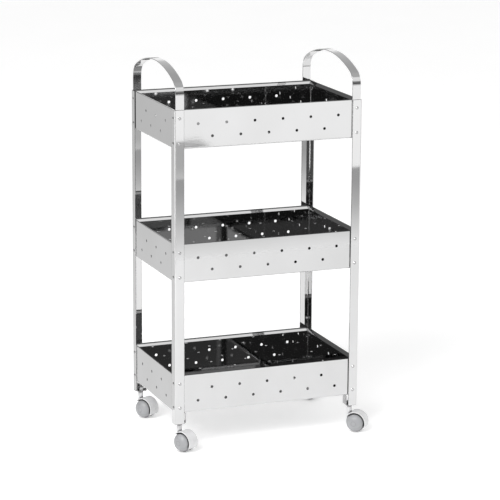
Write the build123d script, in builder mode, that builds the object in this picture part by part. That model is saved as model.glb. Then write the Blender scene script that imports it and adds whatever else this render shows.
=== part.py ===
from build123d import *
import math
import os

os.makedirs("parts", exist_ok=True)

# ---------------------------------------------------------------- overall sizes (mm)
FRAME_L = 450.0            # outside of the legs, long side (X)
FRAME_W = 300.0            # outside of the legs, short side (Y)
LEG_BOTTOM_Z = 62.0
RIM_Z = {"top": 784.0, "middle": 480.0, "bottom": 176.0}

# legs: folded angle
LEG_SHEET = 1.5
LEG_FLANGE = 22.5
LEG_BEND_OUT = 3.0
LEG_BEND_IN = 1.5
LEG_CORNER_EASE = 5.0

# handles: flat bar bent into an arch
BAR_THICK = 2.0
BAR_WIDTH = 20.0
BAR_OUTER_X = 222.0        # edge of the bar nearest the end of the trolley
BAR_FOOT_Z = 699.0
ARCH_TOP_Z = 877.0
ARCH_RADIUS = 300.0
ARCH_CORNER = 35.0

# trays: folded perforated sheet
TRAY_SHEET = 1.0
TRAY_DEPTH = 88.0
TRAY_L = FRAME_L - 2 * LEG_SHEET
TRAY_W = FRAME_W - 2 * LEG_SHEET - 2 * BAR_THICK
TRAY_CORNER = 3.0
TRAY_BEND = 3.0
HEM_DROP = 8.0             # height of the sloped hem
HEM_TOP_IN = 2.2           # hem starts this far inside the outer face
HEM_REACH = 3.4            # how far the hem leans in over its height
HEM_THICK = 1.1

# perforation
HOLE_D = 6.5
WALL_PITCH = 67.4
ROW_HIGH = 33.0            # below the rim
ROW_LOW = 62.0
FLOOR_PITCH = 45.0

# rivets
RIVET_SHANK_D = 4.0
RIVET_HOLE_D = 4.04
RIVET_HEAD_D = 7.0
RIVET_HEAD_H = 1.5
RIVET_TAIL_D = 5.6
RIVET_TAIL_H = 1.6
RIVET_X = 213.0            # rivets through the front and back flanges
RIVET_Y = 139.0            # rivets through the side flanges
RIVET_DROPS = (19.0, 75.5)
SPACER_D = 9.0

# caster brackets
BRACKET_X = 25.5
BRACKET_Y = 18.5
BRACKET_GAP = 1.5          # keeps the strip clear of the bend of the leg
BRACKET_H = 24.0
BRACKET_SHEET = 1.5
BRACKET_PLATE = 2.0
BRACKET_CORNER = 3.0
STEM_X = FRAME_L / 2 - LEG_SHEET - BRACKET_X / 2
STEM_Y = FRAME_W / 2 - LEG_SHEET - BRACKET_GAP - BRACKET_Y / 2

# caster stem
STEM_THREAD_D = 8.0
STEM_THREAD_H = 11.0
COLLAR_D = 12.0
COLLAR_H = 3.4
NECK_D = 7.0
NECK_END_Z = 46.4
BULB_D = 8.4
BULB_END_Z = 44.2
NUT_FLATS = 13.0
NUT_H = 6.5

# caster wheels and hood
AXLE_Z = 22.5
TRAIL = 18.0               # axle behind the swivel axis
WHEEL_R = 22.5
AXLE_D = 6.0
AXLE_CLEAR = 0.05
WHEEL_IN = 2.9             # inner face of the wheel hub from the centre plane
TREAD_IN = 4.0
TREAD_OUT = 10.0
DOME_R = 20.3
DOME_Y = 14.8
DOME_H = 10.4
CAP_R = 5.6
HOOD_R_OUT = 25.7
HOOD_R_IN = 23.6
HOOD_HALF = 14.4
HOOD_FROM = -27.0          # degrees, trailing end of the hood
HOOD_TO = 139.0
WEB_HALF = 2.5
SOCKET_D = 12.0
SOCKET_TOP_Z = 58.3

CORNERS = {
    "front_left": (-1, -1),
    "front_right": (1, -1),
    "back_left": (-1, 1),
    "back_right": (1, 1),
}
# resting direction of each caster's trail, degrees from +X
HEADINGS = {
    "front_left": -60.5,
    "front_right": -41.0,
    "back_left": -58.5,
    "back_right": -50.0,
}


def save(builder, node):
    builder.part.label = node
    export_step(builder.part, f"parts/{node}.step")


def rivet_sites(rim_z):
    """Heads of the sixteen rivets of one tray: (x, y, z, outward direction)."""
    sites = []
    for sx, sy in CORNERS.values():
        for drop in RIVET_DROPS:
            sites.append((sx * RIVET_X, sy * FRAME_W / 2, rim_z - drop, (0, sy, 0)))
            sites.append((sx * FRAME_L / 2, sy * RIVET_Y, rim_z - drop, (sx, 0, 0)))
    return sites


# ---------------------------------------------------------------- legs
def make_leg(name, sx, sy):
    cx = sx * FRAME_L / 2
    cy = sy * FRAME_W / 2
    height = RIM_Z["top"] - LEG_BOTTOM_Z
    with BuildPart() as leg:
        with BuildSketch(Plane.XY.offset(LEG_BOTTOM_Z)):
            with Locations((cx - sx * LEG_FLANGE / 2, cy - sy * LEG_FLANGE / 2)):
                Rectangle(LEG_FLANGE, LEG_FLANGE)
            inner = LEG_FLANGE - LEG_SHEET
            with Locations((cx - sx * (LEG_SHEET + inner / 2), cy - sy * (LEG_SHEET + inner / 2))):
                Rectangle(inner, inner, mode=Mode.SUBTRACT)
        extrude(amount=height)
        uprights = leg.edges().filter_by(Axis.Z)
        outer_edge = uprights.sort_by_distance((cx, cy, LEG_BOTTOM_Z + height / 2))[0]
        fillet(outer_edge, radius=LEG_BEND_OUT)
        uprights = leg.edges().filter_by(Axis.Z)
        inner_point = (cx - sx * LEG_SHEET, cy - sy * LEG_SHEET, LEG_BOTTOM_Z + height / 2)
        inner_edge = uprights.sort_by_distance(inner_point)[0]
        fillet(inner_edge, radius=LEG_BEND_IN)
        # eased lower corner of each flange
        side_tip = (cx - sx * LEG_SHEET / 2, cy - sy * LEG_FLANGE, LEG_BOTTOM_Z)
        front_tip = (cx - sx * LEG_FLANGE, cy - sy * LEG_SHEET / 2, LEG_BOTTOM_Z)
        fillet(leg.edges().filter_by(Axis.X).sort_by_distance(side_tip)[0], radius=LEG_CORNER_EASE)
        fillet(leg.edges().filter_by(Axis.Y).sort_by_distance(front_tip)[0], radius=LEG_CORNER_EASE / 2)
        for rim_z in RIM_Z.values():
            heights = [rim_z - drop for drop in RIVET_DROPS]
            with BuildSketch(Plane.XZ.offset(-cy)):
                with Locations(*[(sx * RIVET_X, z) for z in heights]):
                    Circle(RIVET_HOLE_D / 2)
            extrude(amount=LEG_SHEET * 2, both=True, mode=Mode.SUBTRACT)
            with BuildSketch(Plane.YZ.offset(cx)):
                with Locations(*[(sy * RIVET_Y, z) for z in heights]):
                    Circle(RIVET_HOLE_D / 2)
            extrude(amount=LEG_SHEET * 2, both=True, mode=Mode.SUBTRACT)
    save(leg, f"leg_{name}")


for corner_name, (corner_x, corner_y) in CORNERS.items():
    make_leg(corner_name, corner_x, corner_y)


# ---------------------------------------------------------------- trays
def make_tray(name, rim_z, turn):
    floor_z = rim_z - TRAY_DEPTH
    with BuildPart() as tray:
        with BuildSketch(Plane.XY.offset(floor_z)):
            RectangleRounded(TRAY_L, TRAY_W, TRAY_CORNER)
        extrude(amount=TRAY_DEPTH)
        fillet(tray.faces().sort_by(Axis.Z)[0].edges(), radius=TRAY_BEND)
        with BuildSketch(Plane.XY.offset(floor_z + TRAY_SHEET)):
            RectangleRounded(TRAY_L - 2 * TRAY_SHEET, TRAY_W - 2 * TRAY_SHEET, TRAY_CORNER - TRAY_SHEET)
        extrude(amount=TRAY_DEPTH, mode=Mode.SUBTRACT)
        # sloped hem: a plug is filled in at the rim, then its tapered inside is taken out
        hem_z = rim_z - HEM_DROP
        back_in = 2 * (HEM_TOP_IN - HEM_THICK)
        with BuildSketch(Plane.XY.offset(hem_z)):
            RectangleRounded(TRAY_L - back_in - 2 * HEM_REACH, TRAY_W - back_in - 2 * HEM_REACH, 2.0)
        with BuildSketch(Plane.XY.offset(rim_z)):
            RectangleRounded(TRAY_L - back_in, TRAY_W - back_in, 2.0)
        loft()
        with BuildSketch(Plane.XY.offset(rim_z - TRAY_SHEET)):
            RectangleRounded(TRAY_L, TRAY_W, TRAY_CORNER)
        extrude(amount=TRAY_SHEET)
        face_in = 2 * HEM_TOP_IN
        with BuildSketch(Plane.XY.offset(hem_z)):
            RectangleRounded(TRAY_L - face_in - 2 * HEM_REACH, TRAY_W - face_in - 2 * HEM_REACH, 1.2)
        with BuildSketch(Plane.XY.offset(rim_z)):
            RectangleRounded(TRAY_L - face_in, TRAY_W - face_in, 1.2)
        loft(mode=Mode.SUBTRACT)
        fillet(tray.faces().sort_by(Axis.Z)[-1].outer_wire().edges(), radius=0.9)
        # staggered holes in the long walls: six and five on one side, five and six on the other
        sixes = [(i - 2.5) * WALL_PITCH for i in range(6)]
        fives = [(i - 2.0) * WALL_PITCH for i in range(5)]
        for side in (-1, 1):
            six_drop = ROW_HIGH if side == -turn else ROW_LOW
            five_drop = ROW_LOW if side == -turn else ROW_HIGH
            spots = [(x, rim_z - six_drop) for x in sixes]
            spots += [(x, rim_z - five_drop) for x in fives]
            with BuildSketch(Plane.XZ.offset(-side * TRAY_W / 2)):
                with Locations(*spots):
                    Circle(HOLE_D / 2)
            extrude(amount=2 * TRAY_SHEET, both=True, mode=Mode.SUBTRACT)
        # short walls: three over three, the same on both ends
        spots = [(turn * (0.75 - i) * WALL_PITCH, rim_z - ROW_HIGH) for i in range(3)]
        spots += [(turn * (1.25 - i) * WALL_PITCH, rim_z - ROW_LOW) for i in range(3)]
        with BuildSketch(Plane.YZ):
            with Locations(*spots):
                Circle(HOLE_D / 2)
        extrude(amount=TRAY_L, both=True, mode=Mode.SUBTRACT)
        # floor: staggered rows
        spots = []
        for row in range(6):
            y = turn * (row - 2.5) * FLOOR_PITCH
            if row % 2 == 1:
                spots += [(i * 2 * FLOOR_PITCH, y) for i in range(-2, 3)]
            else:
                spots += [((i - 1.5) * 2 * FLOOR_PITCH, y) for i in range(4)]
        with BuildSketch(Plane.XY.offset(floor_z)):
            with Locations(*spots):
                Circle(HOLE_D / 2)
        extrude(amount=2 * TRAY_SHEET, both=True, mode=Mode.SUBTRACT)
        # rivet holes
        heights = [rim_z - drop for drop in RIVET_DROPS]
        with BuildSketch(Plane.XZ):
            with Locations(*[(sx * RIVET_X, z) for sx in (-1, 1) for z in heights]):
                Circle(RIVET_HOLE_D / 2)
        extrude(amount=TRAY_W, both=True, mode=Mode.SUBTRACT)
        with BuildSketch(Plane.YZ):
            with Locations(*[(sy * RIVET_Y, z) for sy in (-1, 1) for z in heights]):
                Circle(RIVET_HOLE_D / 2)
        extrude(amount=TRAY_L, both=True, mode=Mode.SUBTRACT)
    save(tray, f"tray_{name}")


make_tray("top", RIM_Z["top"], 1)
make_tray("middle", RIM_Z["middle"], 1)
make_tray("bottom", RIM_Z["bottom"], -1)


# ---------------------------------------------------------------- handles
BAR_OUTER_Y = FRAME_W / 2 - LEG_SHEET
arch_centre_z = ARCH_TOP_Z - ARCH_RADIUS
corner_y = BAR_OUTER_Y - ARCH_CORNER
corner_rise = math.sqrt((ARCH_RADIUS - ARCH_CORNER) ** 2 - corner_y ** 2)
corner_z = arch_centre_z + corner_rise
blend_angle = math.degrees(math.atan2(corner_rise, corner_y))


def bar_outline(inset):
    """Closed outline of the arch, drawn this far inside its outer surface."""
    side_y = BAR_OUTER_Y - inset
    Line((side_y, BAR_FOOT_Z), (side_y, corner_z))
    CenterArc((corner_y, corner_z), ARCH_CORNER - inset, 0, blend_angle)
    CenterArc((0, arch_centre_z), ARCH_RADIUS - inset, blend_angle, 180 - 2 * blend_angle)
    CenterArc((-corner_y, corner_z), ARCH_CORNER - inset, 180 - blend_angle, blend_angle)
    Line((-side_y, corner_z), (-side_y, BAR_FOOT_Z))
    Line((-side_y, BAR_FOOT_Z), (side_y, BAR_FOOT_Z))


for end_name, end in (("left", -1), ("right", 1)):
    with BuildPart() as handle:
        with BuildSketch(Plane.YZ.offset(end * (BAR_OUTER_X - BAR_WIDTH / 2))):
            with BuildLine():
                bar_outline(0.0)
            make_face()
            with BuildLine():
                bar_outline(BAR_THICK)
            make_face(mode=Mode.SUBTRACT)
        extrude(amount=BAR_WIDTH / 2, both=True)
        long_edges = handle.edges().filter_by(GeomType.CIRCLE)
        fillet(long_edges, radius=0.5)
        with BuildSketch(Plane.XZ):
            with Locations(*[(end * RIVET_X, RIM_Z["top"] - drop) for drop in RIVET_DROPS]):
                Circle(RIVET_HOLE_D / 2)
        extrude(amount=FRAME_W, both=True, mode=Mode.SUBTRACT)
    save(handle, f"handle_{end_name}")


# ---------------------------------------------------------------- rivets and spacers
def rivet_plane(site, depth):
    """Plane square to a rivet, at this depth below the face of the flange."""
    x, y, z, out = site
    origin = (x - out[0] * depth, y - out[1] * depth, z)
    return Plane(origin=origin, x_dir=(0, 0, 1), z_dir=out)


for tray_name, tray_rim in RIM_Z.items():
    with BuildPart() as rivets:
        for site in rivet_sites(tray_rim):
            through_side = site[3][0] != 0
            grip = LEG_SHEET + TRAY_SHEET + (0.0 if through_side else BAR_THICK)
            with BuildSketch(rivet_plane(site, 0.0)):
                Circle(RIVET_HEAD_D / 2)
            extrude(amount=0.4)
            with BuildSketch(rivet_plane(site, -0.4)):
                Circle(RIVET_HEAD_D / 2 - 0.05)
            extrude(amount=RIVET_HEAD_H - 0.4, taper=42)
            with BuildSketch(rivet_plane(site, 0.0)):
                Circle(RIVET_SHANK_D / 2)
            extrude(amount=-grip)
            with BuildSketch(rivet_plane(site, grip)):
                Circle(RIVET_TAIL_D / 2)
            extrude(amount=-RIVET_TAIL_H)
    save(rivets, f"rivets_{tray_name}")

with BuildPart() as spacers:
    for tray_name in ("middle", "bottom"):
        for site in rivet_sites(RIM_Z[tray_name]):
            if site[3][0] == 0:
                with BuildSketch(rivet_plane(site, LEG_SHEET)):
                    Circle(SPACER_D / 2)
                    Circle(RIVET_HOLE_D / 2, mode=Mode.SUBTRACT)
                extrude(amount=-BAR_THICK)
save(spacers, "spacer_washers")


# ---------------------------------------------------------------- caster brackets and stems
def make_bracket(name, sx, sy):
    """Strip folded into a U, open to the front and back, its cheeks against the leg."""
    cx = sx * STEM_X
    cy = sy * STEM_Y
    with BuildPart() as bracket:
        with BuildSketch(Plane.XZ.offset(-cy)):
            with BuildLine():
                Polyline(
                    (cx - BRACKET_X / 2, LEG_BOTTOM_Z + BRACKET_H),
                    (cx - BRACKET_X / 2, LEG_BOTTOM_Z),
                    (cx + BRACKET_X / 2, LEG_BOTTOM_Z),
                    (cx + BRACKET_X / 2, LEG_BOTTOM_Z + BRACKET_H),
                    (cx + BRACKET_X / 2 - BRACKET_SHEET, LEG_BOTTOM_Z + BRACKET_H),
                    (cx + BRACKET_X / 2 - BRACKET_SHEET, LEG_BOTTOM_Z + BRACKET_PLATE),
                    (cx - BRACKET_X / 2 + BRACKET_SHEET, LEG_BOTTOM_Z + BRACKET_PLATE),
                    (cx - BRACKET_X / 2 + BRACKET_SHEET, LEG_BOTTOM_Z + BRACKET_H),
                    close=True,
                )
            make_face()
        extrude(amount=BRACKET_Y / 2, both=True)
        folds = bracket.edges().filter_by(Axis.Y)
        fillet(folds.group_by(Axis.Z)[0], radius=BRACKET_CORNER)
        folds = bracket.edges().filter_by(Axis.Y)
        inner_left = (cx - BRACKET_X / 2 + BRACKET_SHEET, cy, LEG_BOTTOM_Z + BRACKET_PLATE)
        inner_right = (cx + BRACKET_X / 2 - BRACKET_SHEET, cy, LEG_BOTTOM_Z + BRACKET_PLATE)
        creases = [folds.sort_by_distance(inner_left)[0], folds.sort_by_distance(inner_right)[0]]
        fillet(creases, radius=BRACKET_CORNER - BRACKET_SHEET)
        with BuildSketch(Plane.XY.offset(LEG_BOTTOM_Z)):
            with Locations((cx, cy)):
                Circle(STEM_THREAD_D / 2 + 0.02)
        extrude(amount=2 * BRACKET_PLATE, both=True, mode=Mode.SUBTRACT)
    save(bracket, f"caster_bracket_{name}")


def make_stem(name, sx, sy):
    axis_point = (sx * STEM_X, sy * STEM_Y, 0)
    collar_z = LEG_BOTTOM_Z - COLLAR_H
    top_z = LEG_BOTTOM_Z + STEM_THREAD_H
    with BuildPart() as stem:
        with BuildSketch(Plane(origin=axis_point, x_dir=(1, 0, 0), z_dir=(0, -1, 0))):
            with BuildLine():
                Polyline(
                    (0, BULB_END_Z),
                    (BULB_D / 2 - 1.0, BULB_END_Z),
                    (BULB_D / 2, BULB_END_Z + 1.0),
                    (BULB_D / 2, NECK_END_Z),
                    (NECK_D / 2, NECK_END_Z + 0.7),
                    (NECK_D / 2, collar_z),
                    (COLLAR_D / 2 - 0.5, collar_z),
                    (COLLAR_D / 2, collar_z + 0.5),
                    (COLLAR_D / 2, LEG_BOTTOM_Z),
                    (STEM_THREAD_D / 2, LEG_BOTTOM_Z),
                    (STEM_THREAD_D / 2, top_z - 1.0),
                    (STEM_THREAD_D / 2 - 1.0, top_z),
                    (0, top_z),
                    close=True,
                )
            make_face()
        revolve(axis=Axis(axis_point, (0, 0, 1)))
    save(stem, f"caster_stem_{name}")


for corner_name, (corner_sx, corner_sy) in CORNERS.items():
    make_bracket(corner_name, corner_sx, corner_sy)
    make_stem(corner_name, corner_sx, corner_sy)

with BuildPart() as nuts:
    with BuildSketch(Plane.XY.offset(LEG_BOTTOM_Z + BRACKET_PLATE)):
        with Locations(*[(sx * STEM_X, sy * STEM_Y) for sx, sy in CORNERS.values()]):
            RegularPolygon(NUT_FLATS / 2, 6, major_radius=False)
            Circle(STEM_THREAD_D / 2 + 0.02, mode=Mode.SUBTRACT)
    extrude(amount=NUT_H)
save(nuts, "stem_nuts")


# ---------------------------------------------------------------- casters
class CasterFrame:
    """Where one caster stands: swivel axis, axle centre, and the directions of both."""

    def __init__(self, sx, sy, heading):
        angle = math.radians(heading)
        self.trail = (math.cos(angle), math.sin(angle), 0)
        self.side = (math.sin(angle), -math.cos(angle), 0)
        self.stem = (sx * STEM_X, sy * STEM_Y, 0)
        self.axle = (
            self.stem[0] + TRAIL * self.trail[0],
            self.stem[1] + TRAIL * self.trail[1],
            AXLE_Z,
        )

    def profile_plane(self):
        """Upright plane through the middle of the caster, x trailing, y up."""
        return Plane(origin=self.axle, x_dir=self.trail, z_dir=self.side)

    def wheel_plane(self, hand):
        """Plane holding the axle: x up (radius), y outward along the axle."""
        down = (-hand * self.side[1], hand * self.side[0], 0)
        return Plane(origin=self.axle, x_dir=(0, 0, 1), z_dir=down)

    def axle_axis(self):
        return Axis(self.axle, self.side)


def ellipse_point(radius, height, r):
    return height * math.sqrt(1 - (r / radius) ** 2)


def make_hood(name, frame):
    with BuildPart() as hood:
        # curved guard over both wheels
        with BuildSketch(frame.profile_plane()):
            with BuildLine():
                CenterArc((0, 0), HOOD_R_OUT, HOOD_FROM, HOOD_TO - HOOD_FROM)
                CenterArc((0, 0), HOOD_R_IN, HOOD_FROM, HOOD_TO - HOOD_FROM)
                for edge_angle in (HOOD_FROM, HOOD_TO):
                    cos_a = math.cos(math.radians(edge_angle))
                    sin_a = math.sin(math.radians(edge_angle))
                    Line(
                        (HOOD_R_IN * cos_a, HOOD_R_IN * sin_a),
                        (HOOD_R_OUT * cos_a, HOOD_R_OUT * sin_a),
                    )
            make_face()
        extrude(amount=HOOD_HALF, both=True)
        # stem socket, cleared where the wheels pass
        socket_plane = Plane.XY.offset(AXLE_Z)
        with BuildSketch(socket_plane):
            with Locations(frame.stem[:2]):
                Circle(SOCKET_D / 2)
        extrude(amount=SOCKET_TOP_Z - AXLE_Z)
        with BuildSketch(frame.profile_plane()):
            Circle(HOOD_R_IN)
        extrude(amount=HOOD_HALF + 1, both=True, mode=Mode.SUBTRACT)
        # centre web between the wheels
        with BuildSketch(frame.profile_plane()):
            Circle(HOOD_R_IN + 0.5)
            with Locations((0, -HOOD_R_OUT - 9.0)):
                Rectangle(3 * HOOD_R_OUT, 2 * HOOD_R_OUT, mode=Mode.SUBTRACT)
        extrude(amount=WEB_HALF, both=True)
        with BuildSketch(frame.profile_plane()):
            Circle(AXLE_D / 2 + 0.01)
        extrude(amount=HOOD_HALF, both=True, mode=Mode.SUBTRACT)
        # stepped blind bore for the stem
        with BuildSketch(Plane.XY.offset(SOCKET_TOP_Z + 1)):
            with Locations(frame.stem[:2]):
                Circle(NECK_D / 2 + 0.05)
        extrude(amount=-(SOCKET_TOP_Z + 1 - NECK_END_Z), mode=Mode.SUBTRACT)
        bore_end = BULB_END_Z - 0.4
        bore_top = NECK_END_Z + 1.1
        with BuildSketch(Plane.XY.offset(bore_end)):
            with Locations(frame.stem[:2]):
                Circle(BULB_D / 2 + 0.3)
        extrude(amount=bore_top - bore_end, mode=Mode.SUBTRACT)
    save(hood, f"caster_hood_{name}")


def make_axle(name, frame):
    with BuildPart() as axle:
        with BuildSketch(frame.profile_plane()):
            Circle(AXLE_D / 2)
        extrude(amount=14.0, both=True)
    save(axle, f"caster_axle_{name}")
    with BuildPart() as retainers:
        for hand in (-1, 1):
            with BuildSketch(frame.profile_plane().offset(hand * 12.35)):
                Circle(4.7)
                Circle(AXLE_D / 2 + 0.01, mode=Mode.SUBTRACT)
            extrude(amount=hand * 0.8)
    save(retainers, f"axle_retainers_{name}")


def make_wheel(name, side_name, frame, hand):
    bore_r = AXLE_D / 2 + AXLE_CLEAR
    hub_r = 7.0
    pocket_r = 5.2
    seat_y = 22.3
    rim_in = 18.6
    lining = 2.2
    inner_r = DOME_R - lining
    inner_h = DOME_H - lining
    outer_at_cap = DOME_Y + ellipse_point(DOME_R, DOME_H, CAP_R)
    outer_mid = (DOME_R * 0.75, DOME_Y + ellipse_point(DOME_R, DOME_H, DOME_R * 0.75))
    inner_at_hub = DOME_Y + ellipse_point(inner_r, inner_h, hub_r)
    inner_mid = (inner_r * 0.78, DOME_Y + ellipse_point(inner_r, inner_h, inner_r * 0.78))
    with BuildPart() as wheel:
        with BuildSketch(frame.wheel_plane(hand)):
            with BuildLine():
                Polyline(
                    (CAP_R, outer_at_cap - 0.35),
                    (CAP_R, seat_y),
                    (pocket_r, seat_y),
                    (pocket_r, 12.0),
                    (bore_r, 12.0),
                    (bore_r, WHEEL_IN),
                    (hub_r, WHEEL_IN),
                    (hub_r, inner_at_hub),
                )
                ThreePointArc((hub_r, inner_at_hub), inner_mid, (inner_r, DOME_Y))
                Polyline(
                    (inner_r, DOME_Y),
                    (rim_in, TREAD_IN),
                    (WHEEL_R - 0.8, TREAD_IN),
                    (WHEEL_R, TREAD_IN + 0.8),
                    (WHEEL_R, TREAD_OUT - 1.2),
                    (WHEEL_R - 1.2, TREAD_OUT),
                    (DOME_R + 0.2, TREAD_OUT),
                    (DOME_R, DOME_Y),
                )
                ThreePointArc((DOME_R, DOME_Y), outer_mid, (CAP_R + 0.35, outer_at_cap - 0.05))
                Line((CAP_R + 0.35, outer_at_cap - 0.05), (CAP_R, outer_at_cap - 0.35))
            make_face()
        revolve(axis=frame.axle_axis())
    save(wheel, f"wheel_{side_name}_{name}")
    apex = DOME_Y + DOME_H
    with BuildPart() as cap:
        with BuildSketch(frame.wheel_plane(hand)):
            with BuildLine():
                Polyline(
                    (0, apex),
                    (0, seat_y),
                    (CAP_R - 0.01, seat_y),
                    (CAP_R - 0.01, outer_at_cap - 0.35),
                    (CAP_R - 0.4, outer_at_cap),
                )
                crown = apex - outer_at_cap
                crown_r = ((CAP_R - 0.4) ** 2 + crown ** 2) / (2 * crown)
                cap_mid = apex - crown_r + math.sqrt(crown_r ** 2 - (CAP_R / 2) ** 2)
                ThreePointArc((CAP_R - 0.4, outer_at_cap), (CAP_R / 2, cap_mid), (0, apex))
            make_face()
        revolve(axis=frame.axle_axis())
    save(cap, f"hub_cap_{side_name}_{name}")


for corner_name, (corner_sx, corner_sy) in CORNERS.items():
    caster = CasterFrame(corner_sx, corner_sy, HEADINGS[corner_name])
    make_hood(corner_name, caster)
    make_axle(corner_name, caster)
    make_wheel(corner_name, "a", caster, 1)
    make_wheel(corner_name, "b", caster, -1)
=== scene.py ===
import math

import bpy
from mathutils import Matrix, Vector


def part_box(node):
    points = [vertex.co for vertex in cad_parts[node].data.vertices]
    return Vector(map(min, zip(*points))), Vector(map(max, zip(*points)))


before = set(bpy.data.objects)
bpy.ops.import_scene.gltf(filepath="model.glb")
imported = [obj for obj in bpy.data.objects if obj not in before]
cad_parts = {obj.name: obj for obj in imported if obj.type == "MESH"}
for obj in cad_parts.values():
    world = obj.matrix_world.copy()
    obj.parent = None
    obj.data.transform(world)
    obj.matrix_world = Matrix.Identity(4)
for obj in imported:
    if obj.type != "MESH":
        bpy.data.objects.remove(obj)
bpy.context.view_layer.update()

# ------------------------------------------------------------------ main values
# Metres throughout, in the frame of the CAD.
WHITE = (1, 1, 1, 1)
MIX_A, MIX_B, MIX_OUT = 6, 7, 2        # sockets of a Mix node that mixes colours

# finishes: reflectance and roughness
SHEET_GREY, SHEET_ROUGH = 0.62, 0.02
UPRIGHT_GREY, UPRIGHT_ROUGH = 0.64, 0.025
BAR_GREY, BAR_ROUGH = 0.62, 0.06
RIVET_GREY, RIVET_ROUGH = 0.5, 0.15
HARDWARE_GREY, HARDWARE_ROUGH = 0.55, 0.22
STEM_GREY, STEM_ROUGH, STEM_PITCH = 0.36, 0.25, 0.0012
HOOD_GREY, HOOD_ROUGH = 0.72, 0.3
WHEEL_GREY, WHEEL_ROUGH = 0.37, 0.35

# stage
FLOOR_SIZE, FLOOR_Z = 60.0, -0.0005    # just under the wheels, so that the two don't share a plane
FLOOR_GLOW, FLOOR_GLOW_SEEN = 0.33, 0.42
KEY_SIZE, KEY_AT, KEY_TARGET, KEY_POWER = 2.4, (-3.2, -2.6, 3.6), (0, 0, 0.4), 200

# camera, solved from the corners of the frame in the photograph
CAM_AT = Vector((-1.8912, -4.8868, 1.6527))
YAW, PITCH, ROLL = math.radians(21.290), math.radians(13.252), math.radians(0.330)
FOCAL_PX, PICTURE_PX, SENSOR_MM = 2316.4, 500, 36.0
CLIP_END = 200

scene = bpy.context.scene
scene.view_settings.view_transform = "Standard"
scene.cycles.max_bounces = 20          # a ray meets many mirror walls inside a tray
scene.cycles.glossy_bounces = 16
scene.cycles.diffuse_bounces = 4
scene.cycles.use_denoising = True


# ------------------------------------------------------------------ node helpers
def grey(v, tint=(1, 1, 1)):
    return (v * tint[0], v * tint[1], v * tint[2], 1)


def set_stops(ramp, stops):
    """Give a colour ramp its stops, lowest first."""
    ramp.elements.remove(ramp.elements[1])
    ramp.elements[0].position = stops[0][0]
    ramp.elements[0].color = stops[0][1]
    for position, colour in stops[1:]:
        ramp.elements.new(position).color = colour


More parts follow.
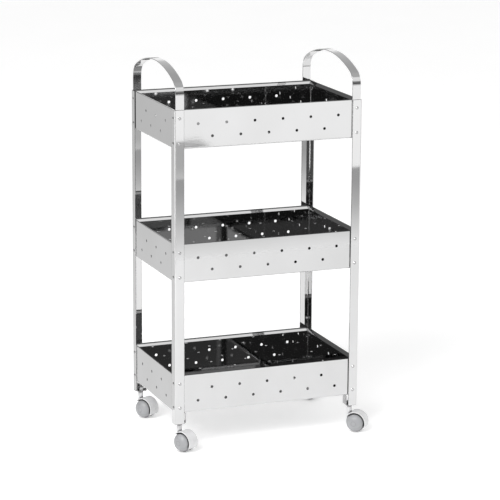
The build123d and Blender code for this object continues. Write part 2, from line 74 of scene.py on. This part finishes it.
class Tree:
    """Small builder for a material's node tree."""

    def __init__(self, name):
        self.mat = bpy.data.materials.new(name)
        self.mat.use_nodes = True
        self.nt = self.mat.node_tree
        self.nt.nodes.clear()
        self.out = self.nt.nodes.new("ShaderNodeOutputMaterial")

    def node(self, kind, **props):
        n = self.nt.nodes.new(kind)
        for k, v in props.items():
            setattr(n, k, v)
        return n

    def link(self, a, b):
        self.nt.links.new(a, b)

    def bsdf(self, **sockets):
        n = self.node("ShaderNodeBsdfPrincipled")
        for k, v in sockets.items():
            n.inputs[k.replace("_", " ")].default_value = v
        self.link(n.outputs["BSDF"], self.out.inputs["Surface"])
        return n

    def coords(self, scale=(1, 1, 1)):
        tc = self.node("ShaderNodeTexCoord")
        mp = self.node("ShaderNodeMapping")
        mp.inputs["Scale"].default_value = scale
        self.link(tc.outputs["Object"], mp.inputs["Vector"])
        return mp.outputs["Vector"]

    def split(self, vector):
        n = self.node("ShaderNodeSeparateXYZ")
        self.link(vector, n.inputs["Vector"])
        return n.outputs

    def noise(self, vec, scale, detail, rough=0.5):
        n = self.node("ShaderNodeTexNoise")
        n.inputs["Scale"].default_value = scale
        n.inputs["Detail"].default_value = detail
        n.inputs["Roughness"].default_value = rough
        self.link(vec, n.inputs["Vector"])
        return n.outputs["Fac"]

    def ramp(self, fac, stops):
        n = self.node("ShaderNodeValToRGB")
        set_stops(n.color_ramp, stops)
        self.link(fac, n.inputs["Fac"])
        return n.outputs["Color"]

    def remap(self, fac, lo, hi, out_lo=0.0, out_hi=1.0):
        n = self.node("ShaderNodeMapRange")
        for k, v in zip(("From Min", "From Max", "To Min", "To Max"), (lo, hi, out_lo, out_hi)):
            n.inputs[k].default_value = v
        self.link(fac, n.inputs["Value"])
        return n.outputs["Result"]

    def product(self, a, b):
        n = self.node("ShaderNodeMath", operation="MULTIPLY")
        self.link(a, n.inputs[0])
        self.link(b, n.inputs[1])
        return n.outputs[0]

    def from_dark(self, dark, colour, fac):
        """Change from a dark grey, where fac is 0, to a colour, where it is 1."""
        m = self.node("ShaderNodeMix", data_type="RGBA")
        self.link(fac, m.inputs["Factor"])
        m.inputs[MIX_A].default_value = grey(dark)
        self.link(colour, m.inputs[MIX_B])
        return m.outputs[MIX_OUT]

    def painted_gap_shade(self, colour, reach, dark, lo=0.2, hi=0.8):
        """Darken a colour where other surfaces stand closer than reach: painted shade in gaps, where
        light is lost.
        """
        ao = self.node("ShaderNodeAmbientOcclusion", samples=8)
        ao.inputs["Distance"].default_value = reach
        return self.from_dark(dark, colour, self.remap(ao.outputs["AO"], lo, hi))

    def painted_edge_shade(self, colour, radius, dark):
        """Darken a colour along sharp edges: a painted dark line standing for the shade and dark
        reflection at edges.
        """
        bevel = self.node("ShaderNodeBevel", samples=6)
        bevel.inputs["Radius"].default_value = radius
        geo = self.node("ShaderNodeNewGeometry")
        dot = self.node("ShaderNodeVectorMath", operation="DOT_PRODUCT")
        self.link(bevel.outputs["Normal"], dot.inputs[0])
        self.link(geo.outputs["Normal"], dot.inputs[1])
        return self.from_dark(dark, colour, self.remap(dot.outputs["Value"], 0.80, 0.99))

    def rim_line(self, colour, rim_z, wall_y, dark):
        """Darken the crest of the hem along the long walls, where its tight fold turns from the light."""
        at = self.split(self.coords())
        facing = self.split(self.node("ShaderNodeNewGeometry").outputs["Normal"])
        aside = self.node("ShaderNodeMath", operation="ABSOLUTE")
        self.link(at["Y"], aside.inputs[0])
        mask = self.remap(at["Z"], rim_z - 0.0030, rim_z - 0.0020)
        mask = self.product(mask, self.remap(aside.outputs[0], wall_y - 0.0063, wall_y - 0.0060))
        mask = self.product(mask, self.remap(facing["Z"], 0.1, 0.3))
        m = self.node("ShaderNodeMix", data_type="RGBA")
        self.link(mask, m.inputs["Factor"])
        self.link(colour, m.inputs[MIX_A])
        m.inputs[MIX_B].default_value = grey(dark)
        return m.outputs[MIX_OUT]

    def bump(self, height, strength, distance, after=None):
        n = self.node("ShaderNodeBump")
        n.inputs["Strength"].default_value = strength
        n.inputs["Distance"].default_value = distance
        self.link(height, n.inputs["Height"])
        if after is not None:
            self.link(after, n.inputs["Normal"])
        return n.outputs["Normal"]


# ------------------------------------------------------------------ finishes
def polished_steel(name, base, rough, waviness, grain_axis, edge=0.0, rim=None):
    """Mirror-polished stainless sheet: rub marks along one axis, faint clouding, a slight waviness.

    edge is the width of the painted dark line (painted shade) along its edges, and rim the height and
    half width of a tray's hem.
    """
    t = Tree(name)
    b = t.bsdf(Metallic=1.0)
    stretch = [60, 60, 60]
    stretch[grain_axis] = 3
    marks = t.noise(t.coords(tuple(stretch)), 12, 4, 0.65)
    clouds = t.noise(t.coords(), 7, 3)
    colour = t.ramp(clouds, [(0.3, grey(base * 0.97)), (0.7, grey(base * 1.03, (1, 1, 1.005)))])
    if edge:
        # painted shade: a dark line along sharp edges
        colour = t.painted_edge_shade(colour, edge, base * 0.1)
    if rim is not None:
        colour = t.rim_line(colour, *rim, base * 0.15)
    t.link(colour, b.inputs["Base Color"])
    rubbed = t.remap(marks, 0.3, 0.7, 0.75, 1.3)
    clouded = t.remap(clouds, 0.3, 0.7, rough * 0.8, rough * 1.25)
    t.link(t.product(rubbed, clouded), b.inputs["Roughness"])
    n = t.bump(t.noise(t.coords(), 9, 1, 0.3), waviness, 0.0006)
    n = t.bump(marks, 0.04, 0.0002, n)
    t.link(n, b.inputs["Normal"])
    return t.mat


def bright_steel(name, base, rough, reach, thread=0.0):
    """Small steel pieces with a turned or rolled finish, painted shade in crevices, threaded at a given
    pitch.
    """
    t = Tree(name)
    b = t.bsdf(Metallic=1.0)
    fine = t.noise(t.coords((1, 1, 8)), 400, 3, 0.6)
    colour = t.ramp(fine, [(0.3, grey(base * 0.9)), (0.7, grey(base * 1.06))])
    # painted shade: darker where other surfaces stand close
    t.link(t.painted_gap_shade(colour, reach, base * 0.12), b.inputs["Base Color"])
    t.link(t.remap(fine, 0.3, 0.7, rough * 0.8, rough * 1.3), b.inputs["Roughness"])
    n = t.bump(fine, 0.08, 0.0001)
    if thread:
        ridges = t.node("ShaderNodeTexWave", wave_type="BANDS", bands_direction="Z")
        ridges.inputs["Scale"].default_value = 0.314 / thread    # one band to a turn of the thread
        t.link(t.coords(), ridges.inputs["Vector"])
        n = t.bump(ridges.outputs["Fac"], 0.8, thread * 0.5, n)
    t.link(n, b.inputs["Normal"])
    return t.mat


def moulded_plastic(name, base, rough, coat, tint, edge=0.0):
    """Injection-moulded plastic: fine grain, slight flow clouding, duller patches, painted shade in gaps.
    """
    t = Tree(name)
    b = t.bsdf(Specular_IOR_Level=0.5, Coat_Weight=coat, Coat_Roughness=0.1)
    grain = t.noise(t.coords(), 2600, 2, 0.6)
    cloud = t.noise(t.coords(), 60, 3, 0.55)
    colour = t.ramp(cloud, [(0.25, grey(base * 0.93, tint)), (0.75, grey(base * 1.05, tint))])
    if edge:
        # painted shade: a dark line along sharp edges
        colour = t.painted_edge_shade(colour, edge, base * 0.45)
    # painted shade: darker where other surfaces stand close
    t.link(t.painted_gap_shade(colour, 0.006, base * 0.03, 0.35, 0.85), b.inputs["Base Color"])
    t.link(t.remap(cloud, 0.3, 0.7, rough * 0.85, rough * 1.2), b.inputs["Roughness"])
    t.link(t.bump(grain, 0.12, 0.00008), b.inputs["Normal"])
    return t.mat


SHEETS = {}
for tray in ("tray_top", "tray_middle", "tray_bottom"):
    tray_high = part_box(tray)[1]
    SHEETS[tray] = polished_steel(
        "steel_" + tray, SHEET_GREY, SHEET_ROUGH, 0.04, 0, edge=0.0006, rim=(tray_high[2], tray_high[1])
    )
UPRIGHT = polished_steel("steel_upright", UPRIGHT_GREY, UPRIGHT_ROUGH, 0.04, 2, edge=0.0020)
BAR = polished_steel("steel_bar", BAR_GREY, BAR_ROUGH, 0.03, 1)
RIVET = bright_steel("steel_rivet", RIVET_GREY, RIVET_ROUGH, 0.0015)
HARDWARE = bright_steel("steel_hardware", HARDWARE_GREY, HARDWARE_ROUGH, 0.003)
THREADED = bright_steel("steel_threaded", STEM_GREY, STEM_ROUGH, 0.004, thread=STEM_PITCH)
HOOD = moulded_plastic("hood_plastic", HOOD_GREY, HOOD_ROUGH, 0.2, (1, 1, 1.01))
WHEEL = moulded_plastic("wheel_plastic", WHEEL_GREY, WHEEL_ROUGH, 0.1, (0.98, 0.99, 1.02), edge=0.0010)

# material of each CAD node, by how its name starts
FINISH = {
    **SHEETS,
    "leg_": UPRIGHT,
    "handle_": BAR,
    "rivets_": RIVET,
    "spacer_washers": HARDWARE,
    "caster_bracket_": UPRIGHT,
    "caster_stem_": THREADED,
    "stem_nuts": HARDWARE,
    "caster_hood_": HOOD,
    "caster_axle_": HARDWARE,
    "axle_retainers_": HARDWARE,
    "wheel_": WHEEL,
    "hub_cap_": WHEEL,
}
for node_name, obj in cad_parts.items():
    material = next(m for prefix, m in FINISH.items() if node_name.startswith(prefix))
    obj.data.materials.clear()
    obj.data.materials.append(material)


# ------------------------------------------------------------------ floor and lamp
def sheet_object(name, corners, material):
    """A single flat face of the stage, which isn't part of the object."""
    me = bpy.data.meshes.new(name)
    me.from_pydata(corners, [], [tuple(range(len(corners)))])
    me.materials.append(material)
    o = bpy.data.objects.new(name, me)
    scene.collection.objects.link(o)
    return o


pale = Tree("pale_floor")
pale_bsdf = pale.bsdf(Roughness=0.9, Specular_IOR_Level=0.1, Emission_Color=WHITE)
mottle = pale.noise(pale.coords(), 3, 2)
pale.link(pale.ramp(mottle, [(0.3, grey(0.86)), (0.7, grey(0.88))]), pale_bsdf.inputs["Base Color"])
# the floor is as white as a studio sweep where it is seen directly
seen = pale.node("ShaderNodeLightPath").outputs["Is Camera Ray"]
glow = pale.remap(seen, 0.0, 1.0, FLOOR_GLOW, FLOOR_GLOW_SEEN)
pale.link(glow, pale_bsdf.inputs["Emission Strength"])
half = FLOOR_SIZE / 2
floor_corners = [(-half, -half, 0), (half, -half, 0), (half, half, 0), (-half, half, 0)]
floor = sheet_object("floor", floor_corners, pale.mat)
floor.location = (0, 0, FLOOR_Z)

key_data = bpy.data.lights.new("key", "AREA")
key_data.shape = "RECTANGLE"
key_data.size = key_data.size_y = KEY_SIZE
key_data.energy = KEY_POWER
key = bpy.data.objects.new("key", key_data)
key.location = KEY_AT
key.rotation_euler = (Vector(KEY_TARGET) - Vector(KEY_AT)).to_track_quat("-Z", "Y").to_euler()
scene.collection.objects.link(key)

# ------------------------------------------------------------------ room around the steel
world = bpy.data.worlds.new("studio")
scene.world = world
world.use_nodes = True
wt = world.node_tree
wt.nodes.clear()
w_out = wt.nodes.new("ShaderNodeOutputWorld")
w_bg = wt.nodes.new("ShaderNodeBackground")
w_tc = wt.nodes.new("ShaderNodeTexCoord")
w_sep = wt.nodes.new("ShaderNodeSeparateXYZ")
wt.links.new(w_tc.outputs["Generated"], w_sep.inputs["Vector"])


def world_ramp(stops):
    n = wt.nodes.new("ShaderNodeValToRGB")
    set_stops(n.color_ramp, [(p, grey(v)) for p, v in stops])
    wt.links.new(w_sep.outputs["Z"], n.inputs["Fac"])
    return n.outputs["Color"]


def world_blend(socket, low, high, width=0.12):
    """Soft change from one radiance to another as a direction component passes zero."""
    t = wt.nodes.new("ShaderNodeMapRange")
    t.interpolation_type = "SMOOTHSTEP"
    t.inputs["From Min"].default_value = -width
    t.inputs["From Max"].default_value = width
    wt.links.new(socket, t.inputs["Value"])
    m = wt.nodes.new("ShaderNodeMix")
    m.data_type = "RGBA"
    wt.links.new(t.outputs["Result"], m.inputs["Factor"])
    wt.links.new(low, m.inputs[MIX_A])
    wt.links.new(high, m.inputs[MIX_B])
    return m.outputs[MIX_OUT]


# radiance of the room against the sine of the elevation, one curve for each quarter
front_right = world_ramp([
    (0.0, 0.30), (0.10, 0.10), (0.17, 0.12), (0.20, 0.34), (0.25, 0.30), (0.29, 0.22),
    (0.36, 1.05), (0.70, 1.15), (0.74, 0.60), (1.0, 0.60),
])
front_left = world_ramp([(0.0, 0.05), (0.32, 0.05), (0.45, 0.55), (1.0, 0.60)])
back_right = world_ramp([(0.0, 1.15), (0.22, 1.1), (0.36, 0.70), (0.75, 0.52), (1.0, 0.55)])
back_left = world_ramp([
    (0.0, 0.12), (0.23, 0.14), (0.26, 0.05), (0.30, 0.05), (0.45, 0.5), (1.0, 0.60),
])
front = world_blend(w_sep.outputs["X"], front_left, front_right)
back = world_blend(w_sep.outputs["X"], back_left, back_right)
sky = world_blend(w_sep.outputs["Y"], front, back)
wt.links.new(sky, w_bg.inputs["Color"])
# a plain white backdrop stands behind the object wherever it is seen directly
backdrop = wt.nodes.new("ShaderNodeBackground")
backdrop.inputs["Color"].default_value = WHITE
path = wt.nodes.new("ShaderNodeLightPath")
swap = wt.nodes.new("ShaderNodeMixShader")
wt.links.new(path.outputs["Is Camera Ray"], swap.inputs["Fac"])
wt.links.new(w_bg.outputs["Background"], swap.inputs[1])
wt.links.new(backdrop.outputs["Background"], swap.inputs[2])
wt.links.new(swap.outputs["Shader"], w_out.inputs["Surface"])


# ------------------------------------------------------------------ reflector cards
def card(name, corners, stops, axis):
    """Card that only the mirror steel picks up. It glows by itself, graded along one axis."""
    corners = [c if len(c) == 3 else (*c, 0.0) for c in corners]
    along = [c["XYZ".index(axis)] for c in corners]
    t = Tree(name)
    glow = t.node("ShaderNodeEmission")
    place = t.remap(t.split(t.coords())[axis], min(along), max(along))
    t.link(t.ramp(place, [(p, grey(v)) for p, v in stops]), glow.inputs["Color"])
    t.link(glow.outputs["Emission"], t.out.inputs["Surface"])
    o = sheet_object(name, corners, t.mat)
    o.visible_camera = False
    o.visible_diffuse = False
    o.visible_shadow = False


# lying on the floor in front
card("card_front_near", [(0.2, -3.06), (1.85, -3.06), (1.6, -1.9), (0.1, -1.9)],
     [(0.0, 0.48), (0.2, 0.50), (0.5, 0.66), (0.8, 0.95), (1.0, 1.2)], "Y")
card("card_front_far", [(0.6, -3.75), (1.15, -3.75), (1.05, -3.06), (0.6, -3.06)],
     [(0.0, 0.62), (0.7, 0.62), (1.0, 0.8)], "Y")
card("card_front_white",
     [(-0.2, -6.5), (3.5, -6.5), (3.5, -3.06), (1.15, -3.06),
      (1.15, -3.75), (0.6, -3.75), (0.0, -3.06), (-0.2, -3.06)],
     [(0.0, 1.3), (1.0, 1.3)], "Y")
card("card_front_left", [(-2.6, -6.0), (-0.2, -6.0), (-0.2, -1.75), (-1.5, -1.75)],
     [(0.0, 0.1), (0.86, 0.14), (0.93, 0.35), (1.0, 0.8)], "Y")
# standing behind, seen from inside the trays
card("card_back_right", [(0.0, 1.4, 0.25), (2.0, 1.4, 0.25), (2.0, 1.4, 0.98), (0.0, 1.4, 0.98)],
     [(0.0, 0.05), (0.54, 0.09), (0.64, 0.30), (0.70, 0.50), (1.0, 0.55)], "Z")
# lying on the floor behind
card("card_back_left", [(-3.0, 0.15), (-0.27, 0.15), (-0.6, 6.0), (-3.0, 6.0)],
     [(0.0, 0.9), (0.3, 0.82), (0.5, 0.72), (1.0, 0.72)], "Y")

# ------------------------------------------------------------------ camera
forward = Vector((
    math.sin(YAW) * math.cos(PITCH), math.cos(YAW) * math.cos(PITCH), -math.sin(PITCH),
))
level = Vector((math.cos(YAW), -math.sin(YAW), 0))
upright = level.cross(forward)
right = math.cos(ROLL) * level + math.sin(ROLL) * upright
up = -math.sin(ROLL) * level + math.cos(ROLL) * upright
cam_data = bpy.data.cameras.new("camera")
cam_data.sensor_width = SENSOR_MM
cam_data.lens = FOCAL_PX / PICTURE_PX * SENSOR_MM
cam_data.clip_end = CLIP_END
cam = bpy.data.objects.new("camera", cam_data)
turn = Matrix((right, up, -forward)).transposed()
cam.matrix_world = Matrix.Translation(CAM_AT) @ turn.to_4x4()
scene.collection.objects.link(cam)
scene.camera = cam
